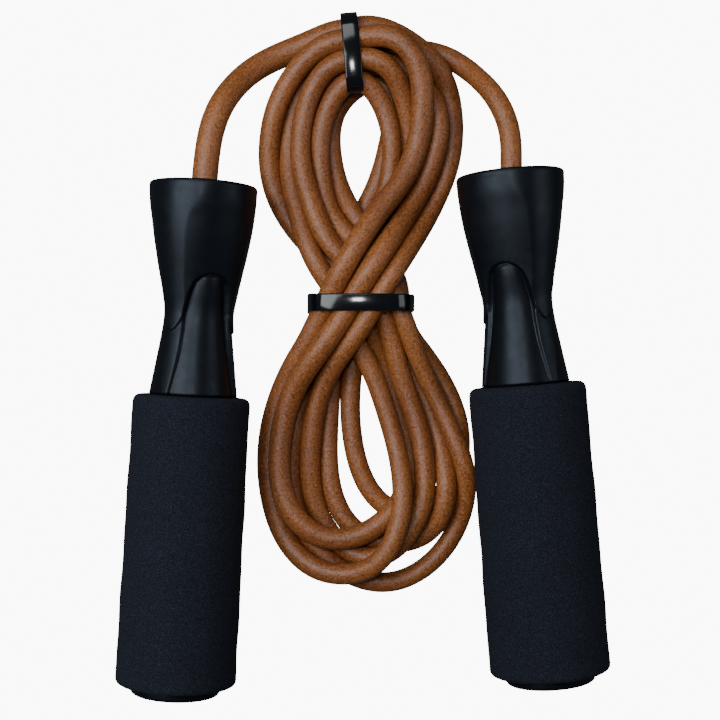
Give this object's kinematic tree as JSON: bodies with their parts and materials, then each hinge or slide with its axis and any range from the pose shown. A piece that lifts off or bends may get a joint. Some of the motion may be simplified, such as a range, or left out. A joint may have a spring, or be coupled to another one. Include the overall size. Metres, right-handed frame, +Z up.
{
  "type": "jump rope",
  "caption": "Leather jump rope coiled in a tied figure of eight, with foam grip handles that turn on ball bearings.",
  "frame": {"origin": "on the ground plane, under the middle of the box around the two handles", "axes": "+Y from the handles' end caps towards their mouths, along the length of the coiled rope; +Z up from the surface it lies on; +X to the right when it is seen from above with the mouths away from the viewer"},
  "size_m": [0.1494, 0.2082, 0.0366],
  "materials": {
    "moulded_plastic": "satin black moulded plastic",
    "cap_plastic": "satin black moulded plastic",
    "foam": "matt black closed-cell foam, fine grained",
    "leather": "saddle brown round leather cord, lightly waxed",
    "tie_plastic": "glossy black nylon",
    "bearing_steel": "ground bearing steel",
    "nylon": "natural nylon",
    "brass": "turned brass"
  },
  "bodies": {
    "rope": {"rope_hank": "leather", "rope_lead_left": "leather", "rope_lead_right": "leather", "tie_waist": "tie_plastic", "tie_top": "tie_plastic", "left_bearing_inner_ring": "bearing_steel", "left_swivel_sleeve": "brass", "left_thrust_washer": "nylon", "left_crimp_ferrule": "brass", "right_bearing_inner_ring": "bearing_steel", "right_swivel_sleeve": "brass", "right_thrust_washer": "nylon", "right_crimp_ferrule": "brass"},
    "left_handle": {"left_handle_shell": "moulded_plastic", "left_foam_grip": "foam", "left_end_cap": "cap_plastic", "left_bearing_retainer": "cap_plastic", "left_bearing_outer_ring": "bearing_steel"},
    "left_ball_set": {"left_bearing_cage": "nylon", "left_bearing_ball_1": "bearing_steel", "left_bearing_ball_2": "bearing_steel", "left_bearing_ball_3": "bearing_steel", "left_bearing_ball_4": "bearing_steel", "left_bearing_ball_5": "bearing_steel", "left_bearing_ball_6": "bearing_steel", "left_bearing_ball_7": "bearing_steel", "left_bearing_ball_8": "bearing_steel", "left_bearing_ball_9": "bearing_steel"},
    "right_handle": {"right_handle_shell": "moulded_plastic", "right_foam_grip": "foam", "right_end_cap": "cap_plastic", "right_bearing_retainer": "cap_plastic", "right_bearing_outer_ring": "bearing_steel"},
    "right_ball_set": {"right_bearing_cage": "nylon", "right_bearing_ball_1": "bearing_steel", "right_bearing_ball_2": "bearing_steel", "right_bearing_ball_3": "bearing_steel", "right_bearing_ball_4": "bearing_steel", "right_bearing_ball_5": "bearing_steel", "right_bearing_ball_6": "bearing_steel", "right_bearing_ball_7": "bearing_steel", "right_bearing_ball_8": "bearing_steel", "right_bearing_ball_9": "bearing_steel"}
  },
  "joints": [
    {"name": "left_handle_spin", "type": "hinge", "parent": "rope", "child": "left_handle", "pos_m": [-0.04798, 0.07489, 0.0183], "axis": [0.0569, 0.9984, 0], "continuous": true},
    {"name": "left_ball_orbit", "type": "hinge", "parent": "rope", "child": "left_ball_set", "pos_m": [-0.04798, 0.07489, 0.0183], "axis": [0.0569, 0.9984, 0], "continuous": true},
    {"name": "right_handle_spin", "type": "hinge", "parent": "rope", "child": "right_handle", "pos_m": [0.04442, 0.07819, 0.0183], "axis": [-0.0809, 0.9967, 0], "continuous": true},
    {"name": "right_ball_orbit", "type": "hinge", "parent": "rope", "child": "right_ball_set", "pos_m": [0.04442, 0.07819, 0.0183], "axis": [-0.0809, 0.9967, 0], "continuous": true}
  ],
  "couplings": [
    {"joint": "left_ball_orbit", "follows": "left_handle_spin", "ratio": 0.5882},
    {"joint": "right_ball_orbit", "follows": "right_handle_spin", "ratio": 0.5882}
  ]
}
